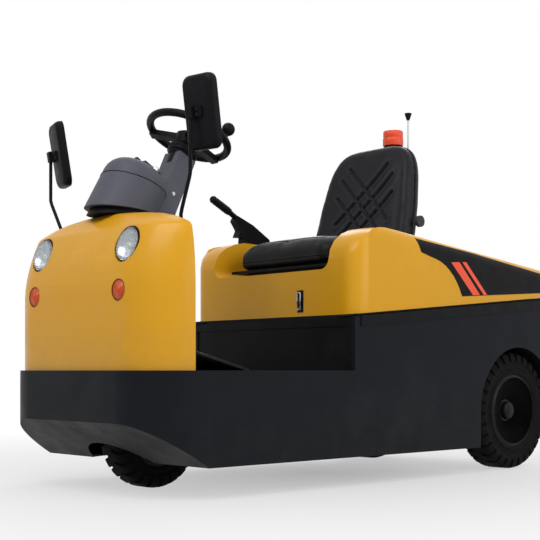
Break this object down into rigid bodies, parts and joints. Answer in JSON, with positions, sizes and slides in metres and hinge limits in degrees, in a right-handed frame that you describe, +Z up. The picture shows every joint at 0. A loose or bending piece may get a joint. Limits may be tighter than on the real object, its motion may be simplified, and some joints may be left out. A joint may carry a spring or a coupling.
{
  "type": "baggage tug",
  "caption": "Seated electric tow tractor with a steered front wheel, an open foot well between a rounded cowl and a tilting rear hood, and a pin coupling at the back.",
  "frame": {"origin": "on the floor under the middle of the bounding box, on the vehicle's centre plane to within the mirrors' small difference", "axes": "+X forward towards the bumper, +Y to the driver's left, +Z up"},
  "size_m": [2.2, 0.9163, 1.47],
  "materials": {
    "charcoal_paint": "satin",
    "black_paint": "semi-matt",
    "yellow_paint": "gloss",
    "grey_plastic": "moulded grain",
    "black_plastic": "moulded grain",
    "black_rubber": "matt",
    "black_vinyl": "sewn vinyl",
    "tyre_rubber": "worn",
    "rim_paint": "satin",
    "bright_steel": "worn zinc",
    "white_rod": "satin",
    "clear_glass": "clear lens",
    "orange_lens": "tinted lens",
    "red_lens": "tinted lens",
    "mirror_silver": "silvered"
  },
  "bodies": {
    "chassis": {"bumper": "charcoal_paint", "side_frame_left": "charcoal_paint", "side_frame_right": "charcoal_paint", "nose_plate": "black_paint", "belly_plate": "black_paint", "floor_plate": "black_rubber", "toe_board": "black_rubber", "pedals": "black_rubber", "bulkhead": "black_paint", "lid_pads": "black_rubber", "battery": "black_plastic", "wheel_houses": "black_paint", "back_plate": "charcoal_paint", "side_strips": "black_plastic", "rear_axle": "black_paint", "tow_coupling": "black_paint", "tail_lamps": "red_lens", "hinge_base": "black_paint", "cowl": "yellow_paint", "dash_panel": "black_paint", "lamp_pockets": "yellow_paint", "headlamps": "clear_glass", "turn_lamps": "orange_lens", "pod_base": "black_plastic", "instrument_pod": "grey_plastic", "steering_column": "grey_plastic", "steer_bearing": "black_paint", "mirror_bars": "black_paint", "mirror_heads": "black_plastic", "mirror_glass": "mirror_silver"},
    "rear_hood_lid": {"rear_hood": "yellow_paint", "hinge_leaf": "black_paint", "seat_plate": "black_paint", "seat_cushion": "black_vinyl", "backrest": "black_vinyl", "backrest_shell": "black_plastic", "brake_lever": "black_plastic", "hood_latch": "bright_steel", "beacon_pole": "black_paint", "beacon_lens": "orange_lens", "marker_rod": "white_rod"},
    "steering_wheel_body": {"steering_wheel": "black_plastic"},
    "front_fork": {"fork": "black_paint"},
    "front_wheel": {"front_tyre": "tyre_rubber", "front_rim": "rim_paint"},
    "rear_wheel_left": {"rear_tyre_left": "tyre_rubber", "rear_rim_left": "rim_paint"},
    "rear_wheel_right": {"rear_tyre_right": "tyre_rubber", "rear_rim_right": "rim_paint"},
    "coupling_pin": {"tow_pin": "bright_steel"}
  },
  "joints": [
    {"name": "steer", "type": "hinge", "parent": "chassis", "child": "front_fork", "pos_m": [0.78, 0, 0.3], "axis": [0, 0, 1], "range_deg": [-75, 75]},
    {"name": "front_wheel_spin", "type": "hinge", "parent": "front_fork", "child": "front_wheel", "pos_m": [0.78, 0, 0.175], "axis": [0, 1, 0], "continuous": true},
    {"name": "rear_left_spin", "type": "hinge", "parent": "chassis", "child": "rear_wheel_left", "pos_m": [-0.72, 0.3615, 0.2325], "axis": [0, 1, 0], "continuous": true},
    {"name": "rear_right_spin", "type": "hinge", "parent": "chassis", "child": "rear_wheel_right", "pos_m": [-0.72, -0.3615, 0.2325], "axis": [0, 1, 0], "continuous": true},
    {"name": "steering_turn", "type": "hinge", "parent": "chassis", "child": "steering_wheel_body", "pos_m": [0.612, 0, 1.208], "axis": [-0.4226, 0, 0.9063], "range_deg": [-600, 600]},
    {"name": "hood_tilt", "type": "hinge", "parent": "chassis", "child": "rear_hood_lid", "pos_m": [-1.023, 0, 0.70049], "axis": [0, -1, 0], "range_deg": [0, 50]},
    {"name": "tow_pin_lift", "type": "slide", "parent": "chassis", "child": "coupling_pin", "axis": [0, 0, 1], "range_m": [0, 0.17]}
  ],
  "couplings": [
    {"joint": "steering_turn", "follows": "steer", "ratio": 8}
  ]
}
